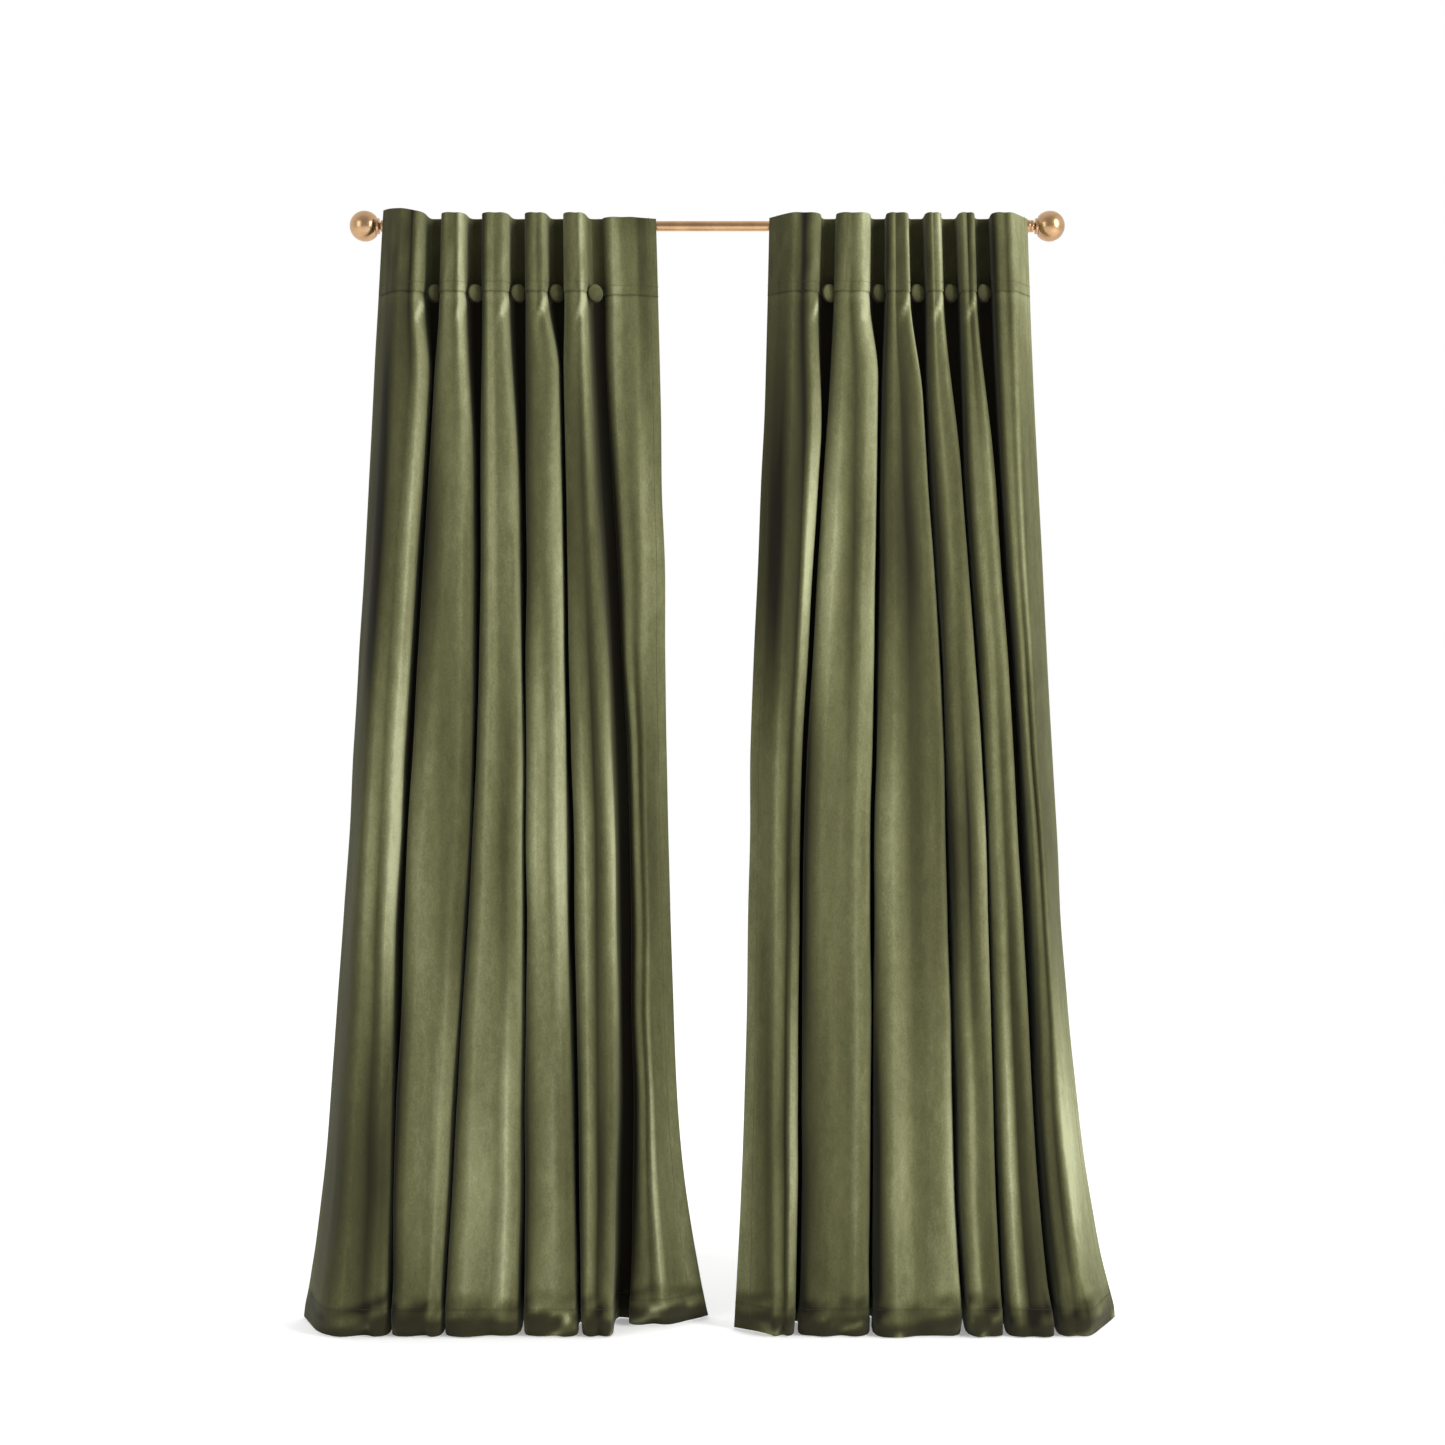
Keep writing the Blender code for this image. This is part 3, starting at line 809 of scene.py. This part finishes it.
def cloth_piece(name, points, normals, cloth, nap, thickness, materials):
    """A closed strip: the velvet face forward, the woven back behind and the rim between."""
    rows, columns = points.shape[:2]
    half = (thickness / 2)[..., None]
    front = (points + normals * half).reshape(-1, 3)
    back = (points - normals * half).reshape(-1, 3)
    count = rows * columns
    faces = []
    slots = []
    for i in range(rows - 1):
        for j in range(columns - 1):
            a = i * columns + j
            faces.append((a, a + columns, a + columns + 1, a + 1))
            slots.append(0)
    for i in range(rows - 1):
        for j in range(columns - 1):
            a = count + i * columns + j
            faces.append((a, a + 1, a + columns + 1, a + columns))
            slots.append(1)
    edge = list(range(columns))
    edge += [i * columns + columns - 1 for i in range(1, rows)]
    edge += [(rows - 1) * columns + j for j in range(columns - 2, -1, -1)]
    edge += [i * columns for i in range(rows - 2, 0, -1)]
    for a, b in zip(edge, edge[1:] + edge[:1]):
        faces.append((a, b, b + count, a + count))
        slots.append(0)
    obj = mesh_object(name, np.concatenate([front, back]), faces, materials)
    mesh = obj.data
    mesh.polygons.foreach_set("material_index", slots)
    attribute = mesh.attributes.new("nap", "FLOAT", "POINT")
    attribute.data.foreach_set("value", np.concatenate([nap.ravel(), nap.ravel()]).astype(np.float32))
    layer = mesh.uv_layers.new(name="cloth")
    both = np.concatenate([cloth.reshape(-1, 2), cloth.reshape(-1, 2)])
    corner = np.empty(len(mesh.loops), np.int32)
    mesh.loops.foreach_get("vertex_index", corner)
    layer.data.foreach_set("uv", both[corner].astype(np.float32).ravel())
    vertex_normals = np.concatenate([normals.reshape(-1, 3), -normals.reshape(-1, 3)])
    mesh.normals_split_custom_set_from_vertices([tuple(n) for n in vertex_normals])
    return obj


def folds(word):
    """The body that carries each recess of a panel, from left to right."""
    root = "rod_and_brackets"
    moving = [f"{word}_fold_{k}" for k in range(1, PIECES)]
    if word == "left":
        return [root] + moving
    return moving[::-1] + [root]


def stitch_tree():
    """Lays short stitches end to end along a line, with a gap between them."""
    tree = bpy.data.node_groups.new("stitches_on_line", "GeometryNodeTree")
    tree.interface.new_socket("Geometry", in_out="INPUT", socket_type="NodeSocketGeometry")
    tree.interface.new_socket("Geometry", in_out="OUTPUT", socket_type="NodeSocketGeometry")
    sizes = (("Pitch", "Float"), ("Length", "Float"), ("Thickness", "Float"), ("Thread", "Material"))
    for name, kind in sizes:
        tree.interface.new_socket(name, in_out="INPUT", socket_type=f"NodeSocket{kind}")

    def made(out, kind, settings=None, inputs=None):
        return Sock(tree, add_node(tree, kind, settings, inputs).outputs[out])

    entry = add_node(tree, "NodeGroupInput").outputs
    geometry, pitch, length, thickness, thread = (
        Sock(tree, entry[name]) for name in ("Geometry", "Pitch", "Length", "Thickness", "Thread")
    )
    line = made("Curve", "GeometryNodeMeshToCurve", None, {"Mesh": geometry})
    spacing = {"Curve": line, "Length": pitch}
    spaced = made("Curve", "GeometryNodeResampleCurve", {"mode": "LENGTH"}, spacing)
    shape = {"Radius": thickness * 0.5, "Depth": length, "Vertices": 6, "Side Segments": 2}
    stitch = made("Mesh", "GeometryNodeMeshCylinder", None, shape)
    tangent = made("Tangent", "GeometryNodeInputTangent")
    turn = made("Rotation", "FunctionNodeAlignRotationToVector", {"axis": "Z"}, {"Vector": tangent})
    laying = {"Points": spaced, "Instance": stitch, "Rotation": turn}
    laid = made("Instances", "GeometryNodeInstanceOnPoints", None, laying)
    real = made("Geometry", "GeometryNodeRealizeInstances", None, {"Geometry": laid})
    dyed = made("Geometry", "GeometryNodeSetMaterial", None, {"Geometry": real, "Material": thread})
    add_node(tree, "NodeGroupOutput", None, {"Geometry": dyed})
    return tree


def stitched(name, paths, thread):
    """One plain mesh of the stitches along every path."""
    points = []
    edges = []
    for path in paths:
        edges += [(len(points) + i, len(points) + i + 1) for i in range(len(path) - 1)]
        points += [tuple(p) for p in path]
    mesh = bpy.data.meshes.new(name)
    mesh.from_pydata(points, edges, [])
    line = bpy.data.objects.new(name + "_line", mesh)
    bpy.context.scene.collection.objects.link(line)
    tree = bpy.data.node_groups.get("stitches_on_line") or stitch_tree()
    modifier = line.modifiers.new("stitches", "NODES")
    modifier.node_group = tree
    sockets = {item.name: item.identifier for item in tree.interface.items_tree if item.in_out == "INPUT"}
    modifier[sockets["Pitch"]] = STITCH_PITCH
    modifier[sockets["Length"]] = STITCH_LENGTH
    modifier[sockets["Thickness"]] = STITCH_THICKNESS
    modifier[sockets["Thread"]] = thread
    graph = bpy.context.evaluated_depsgraph_get()
    made = bpy.data.meshes.new_from_object(line.evaluated_get(graph))
    bpy.data.objects.remove(line)
    made.name = name
    made.shade_smooth()
    obj = bpy.data.objects.new(name, made)
    bpy.context.scene.collection.objects.link(obj)
    return obj


def seam_paths(points, normals, cloth, thickness, low, high, width, length):
    """The stitched lines that cross one piece: two on the heading, one on the hem and the side hems."""
    face = points + normals * (thickness[..., None] / 2 + STITCH_THICKNESS * 0.2)
    paths = []
    for down in (HEADER_TOP - SEAM, HEADER_TOP - SEAM - SECOND_STITCH, length - HEM_STITCH):
        row = int(np.argmin(np.abs(cloth[:, 0, 1] - down)))
        paths.append(face[row, low:high])
    for along in (SIDE_HEM, width - SIDE_HEM):
        column = int(np.argmin(np.abs(cloth[0, :, 0] - along)))
        if low <= column < high - 1:
            paths.append(face[:, column])
    return paths


def build_tabs(material):
    """The loops behind the heading: up the back, over the rod, under it and back, sewn down on themselves."""
    for word in ("left", "right"):
        bodies = folds(word)
        for k in range(1, TABS + 1):
            node = f"{word}_tab_{k}"
            low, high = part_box(node)
            steps = 28
            outer, inner = (low[1] + layer for layer in TAB_LAYERS)
            profile = [(outer, low[2] + TAB_INSET), (outer, TAB_JOIN)]
            for i in range(steps + 1):
                angle = math.pi + TAB_OPENING - 2 * (math.pi - TAB_OPENING) * i / steps
                profile.append((ROD_Y + TAB_LOOP_R * math.cos(angle), TAB_LOOP_R * math.sin(angle)))
            profile += [(inner, TAB_JOIN), (inner, low[2] + 2 * TAB_INSET)]
            middle = smooth_path(profile, 3)
            across_steps = 8
            points = []
            tab_width = high[0] - low[0] - 2 * TAB_INSET
            for y, z in middle:
                for j in range(across_steps + 1):
                    points.append((low[0] + TAB_INSET + tab_width * j / across_steps, y, z))
            count = across_steps + 1
            faces = []
            for i in range(len(middle) - 1):
                for j in range(across_steps):
                    a = i * count + j
                    faces.append((a, a + 1, a + count + 1, a + count))
            tab = mesh_object(f"loop_tab_{word}_{k}", points, faces, [material])
            solid = tab.modifiers.new("thickness", "SOLIDIFY")
            solid.thickness = TAB_CLOTH
            solid.offset = 0
            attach(tab, bodies[tab_body(word, k)])
            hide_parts(node)


def tab_body(word, k):
    """Which of the panel's bodies a tab hangs from, counted from the left."""
    return min(k, PIECES) - 1


def smooth_path(points, passes):
    """Chaikin's corner cutting on an open path, ends kept."""
    for _ in range(passes):
        cut = [points[0]]
        for (a, b), (c, d) in zip(points, points[1:]):
            cut.append((0.75 * a + 0.25 * c, 0.75 * b + 0.25 * d))
            cut.append((0.25 * a + 0.75 * c, 0.25 * b + 0.75 * d))
        points = cut + [points[-1]]
    return points


def leaning_blend(left, right):
    """Start and end of a blend that leans along X as the two recesses do, so that neither seam opens."""
    best = None
    for lean in np.linspace(-MOST_LEAN, MOST_LEAN, LEANS_TRIED):
        start = (left[:, 0] + lean * left[:, 2]).max()
        end = (right[:, 0] + lean * right[:, 2]).min()
        if best is None or end - start > best[2] - best[1]:
            best = (lean, start, end)
    lean, start, end = best
    across_it = Vector((1, 0, lean)) / (1 + lean**2)
    return tuple(across_it * start), tuple(across_it * end)


def build_panel(word, seed, materials, thread):
    points, normals, cloth, cuts, sheen = panel_surface(word, seed)
    nap = mottle_and_painted_light(normals, points, sheen, seed, cloth)
    width = cloth[0, -1, 0]
    length = cloth[-1, 0, 1]
    thickness = thickness_of(cloth, width, length)
    bodies = folds(word)
    bounds = [0] + cuts + [points.shape[1] - 1]
    for k in range(PIECES):
        low, high = bounds[k], bounds[k + 1] + 1
        obj = cloth_piece(
            f"{word}_velvet_{k + 1}",
            points[:, low:high],
            normals[:, low:high],
            cloth[:, low:high],
            nap[:, low:high],
            thickness[:, low:high],
            materials,
        )
        paths = seam_paths(points, normals, cloth, thickness, low, high, width, length)
        seams = stitched(f"{word}_stitching_{k + 1}", paths, thread)
        if k < PIECES - 1:
            # The lean of a blend between the fold's left recess and its right one is worked out but not used:
            # the piece and its stitching are baked in place and hang from no body.
            start, end = leaning_blend(points[:, low], points[:, high - 1])
            for piece in (obj, seams):
                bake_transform(piece)
        else:
            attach(obj, bodies[k])
            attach(seams, bodies[k])
        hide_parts(f"{word}_cloth_{k + 1}")
        flat_width = float(cloth[0, high - 1, 0] - cloth[0, low, 0])


def build_button(name, tone, body, node, material):
    """A domed button covered in the cloth, on the CAD button's place and turn."""
    low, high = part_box(node)
    centre = (low + high) / 2
    turn = BUTTON_FACING * math.atan2(high[1] - low[1], high[0] - low[0])
    outward = Vector((math.sin(turn), -math.cos(turn), 0))
    centre += outward * BUTTON_PROUD
    profile = [(0, -0.003), (BUTTON_R * 0.80, -0.003), (BUTTON_R * 0.97, 0.0)]
    steps = 14
    for i in range(steps + 1):
        a = math.radians(90 * i / steps)
        radius = BUTTON_R * math.cos(a) ** 0.9 if i < steps else 0
        profile.append((radius, 0.0015 + (BUTTON_T - 0.0015) * math.sin(a)))
    obj = lathe(name, profile, centre, outward, material, 72)
    nap = obj.data.attributes.new("nap", "FLOAT", "POINT")
    values = []
    # Painted highlight on the button's upper side, painted shade on its lower side and round its rim.
    for vertex in obj.data.vertices:
        away = vertex.co - centre
        rim = (away - outward * away.dot(outward)).length / BUTTON_R
        lift = away.normalized().z
        painted_rim_shade = max(0.0, rim - 0.88) / 0.12
        values.append(tone + 0.22 * max(0.0, lift) * rim**2 - 0.14 * max(0.0, -lift) * rim - 0.5 * painted_rim_shade)
    nap.data.foreach_set("value", np.array(values, np.float32))
    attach(obj, body)
    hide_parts(node)
    return obj


def build_buttons(word, seed, material):
    bodies = folds(word)
    tones = np.random.default_rng(seed).uniform(*BUTTON_TONES, PIECES)
    for k in range(1, PIECES):
        build_button(f"{word}_covered_button_{k}", tones[k], bodies[k], f"{word}_button_{k}", material)


# ---------------------------------------------------------------- the rod


def build_rod(polished, satin):
    for name, node, radius, (low, high) in (
        ("rod_tube_thick", "rod_outer_tube", OUTER_R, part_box("rod_outer_tube")),
        ("rod_tube_thin", "rod_inner_tube", INNER_R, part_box("rod_inner_tube")),
    ):
        length = high[0] - low[0]
        bore = radius - 0.001
        profile = [(bore, 0.0), (radius - 0.0003, 0.0), (radius, 0.0003)]
        profile += [(radius, length - 0.0003), (radius - 0.0003, length), (bore, length)]
        obj = lathe(name, profile, Vector((low[0], ROD_Y, 0)), (1, 0, 0), polished)
        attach(obj, "rod_and_brackets")
        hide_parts(node)
    for word, side in (("left", -1), ("right", 1)):
        low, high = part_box(f"finial_ball_{word}")
        radius = (high[2] - low[2]) / 2
        start = low[0] if side > 0 else high[0]
        far = high[0] if side > 0 else low[0]
        centre = abs(far - start) - radius
        collar = 0.0150
        collar_length = 0.0050
        begin = math.acos(min(1.0, (centre - collar_length) / radius))
        neck = radius * math.sin(begin) * 0.9
        outline = [(0.0005, 0), (collar, 0), (collar, collar_length), (neck, collar_length)]
        profile = [(0, 0)] + rounded(outline, 0.0016)[1:]
        steps = 40
        for i in range(1, steps + 1):
            angle = begin + (math.pi - begin) * i / steps
            profile.append((radius * math.sin(angle) if i < steps else 0, centre - radius * math.cos(angle)))
        ball = lathe(f"ball_{word}", profile, Vector((start, ROD_Y, 0)), (side, 0, 0), satin)
        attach(ball, "rod_and_brackets")
        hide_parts(f"finial_ball_{word}")

        low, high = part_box(f"finial_sleeve_{word}")
        start = low[0] if side > 0 else high[0]
        ring = (high[2] - low[2]) / 2
        bore = (OUTER_R if side < 0 else INNER_R) + 0.0003
        outline = [
            (bore, 0),
            (ring, 0),
            (ring, 0.0062),
            (ring - 0.0014, 0.0066),
            (ring - 0.0014, 0.0082),
            (ring - 0.0006, 0.0086),
            (ring - 0.0006, 0.0136),
            (0.0070, 0.0145),
            (0.0070, high[0] - low[0]),
            (0.0005, high[0] - low[0]),
        ]
        profile = rounded(outline, 0.0009, 3) + [(0, high[0] - low[0])]
        profile += [(0, 0.0115), (bore, 0.0115)]
        sleeve = lathe(f"sleeve_{word}", profile, Vector((start, ROD_Y, 0)), (side, 0, 0), satin)
        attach(sleeve, "rod_and_brackets")
        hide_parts(f"finial_sleeve_{word}")


# ---------------------------------------------------------------- studio


def pale_floor():
    """The floor glows a little, so that it stays as pale as the backdrop."""
    finish = Finish("pale_floor", Base_Color=(0.96, 0.96, 0.96), Roughness=0.95)
    finish.put("Emission Color", (1.0, 1.0, 1.0))
    finish.put("Emission Strength", FLOOR_GLOW)
    return finish.material


def build_studio():
    scene = bpy.context.scene
    floor = mesh_object(
        "studio_floor",
        [(-9, -9, FLOOR - 0.001), (9, -9, FLOOR - 0.001), (9, 9, FLOOR - 0.001), (-9, 9, FLOOR - 0.001)],
        [(0, 1, 2, 3)],
        [pale_floor()],
    )
    world = bpy.data.worlds.new("studio")
    scene.world = world
    world.use_nodes = True
    # The light is weaker from the room's side than from the window's.
    tree = world.node_tree
    direction = Sock(tree, add_node(tree, "ShaderNodeTexCoord").outputs["Generated"])
    depth = direction.fed("Y", "ShaderNodeSeparateXYZ", None, {"Vector": direction})
    strength = depth.ramp(-0.9, 0.1, ROOM_LIGHT, WINDOW_LIGHT)
    background = tree.nodes["Background"]
    feed(tree, background.inputs["Color"], (1.0, 1.0, 1.0))
    feed(tree, background.inputs["Strength"], strength)

    def area(name, place, aim, width, height, power):
        light = bpy.data.lights.new(name, "AREA")
        light.shape = "RECTANGLE"
        light.size = width
        light.size_y = height
        light.energy = power
        obj = bpy.data.objects.new(name, light)
        obj.location = place
        obj.rotation_euler = (Vector(aim) - Vector(place)).to_track_quat("-Z", "Y").to_euler()
        scene.collection.objects.link(obj)

    area("key", (3.2, -2.6, 0.6), (0, ROD_Y, -1.0), 1.2, 2.6, 150)
    area("fill", (-3.0, -3.2, 0.4), (0, ROD_Y, -1.0), 1.6, 2.6, 30)

    camera = bpy.data.cameras.new("camera")
    camera.sensor_width = SENSOR_WIDTH
    camera.lens = SENSOR_WIDTH * CAMERA_DISTANCE / VIEW_WIDTH
    obj = bpy.data.objects.new("camera", camera)
    obj.location = (CAMERA_X, ROD_Y - CAMERA_DISTANCE, CAMERA_Z)
    obj.rotation_euler = (math.radians(90), 0, 0)
    scene.collection.objects.link(obj)
    scene.camera = obj
    scene.view_settings.view_transform = "Standard"


# ---------------------------------------------------------------- assembly


def main():
    face = velvet("olive_velvet", VELVET_TONES, rim=(0.80, 0.82, 0.62))
    back = woven_back("velvet_reverse", (0.120, 0.112, 0.062), (0.060, 0.055, 0.028))
    loops = woven_back("loop_tape", (0.100, 0.094, 0.050), (0.050, 0.046, 0.022))
    thread = sewing_thread("olive_thread", (0.060, 0.058, 0.028), (0.028, 0.025, 0.012))
    polished = metal("polished_brass", (0.60, 0.37, 0.20), (0.46, 0.28, 0.15), 0.20)
    satin = metal("satin_brass", (0.58, 0.37, 0.20), (0.44, 0.27, 0.145), 0.27)
    bracket = metal("bracket_brass", (0.50, 0.34, 0.20), (0.40, 0.27, 0.15), 0.32)
    steel = metal("screw_steel", (0.55, 0.55, 0.56), (0.42, 0.42, 0.43), 0.35)

    build_tabs(loops)
    build_panel("left", 11, [face, back], thread)
    build_panel("right", 53, [face, back], thread)
    build_buttons("left", 17, face)
    build_buttons("right", 59, face)
    build_rod(polished, satin)

    for name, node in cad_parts.items():
        if node.hide_render:
            continue
        material = loops if "_tab_" in name else steel if "screw" in name else bracket
        node.data.materials.clear()
        node.data.materials.append(material)
    build_studio()


main()
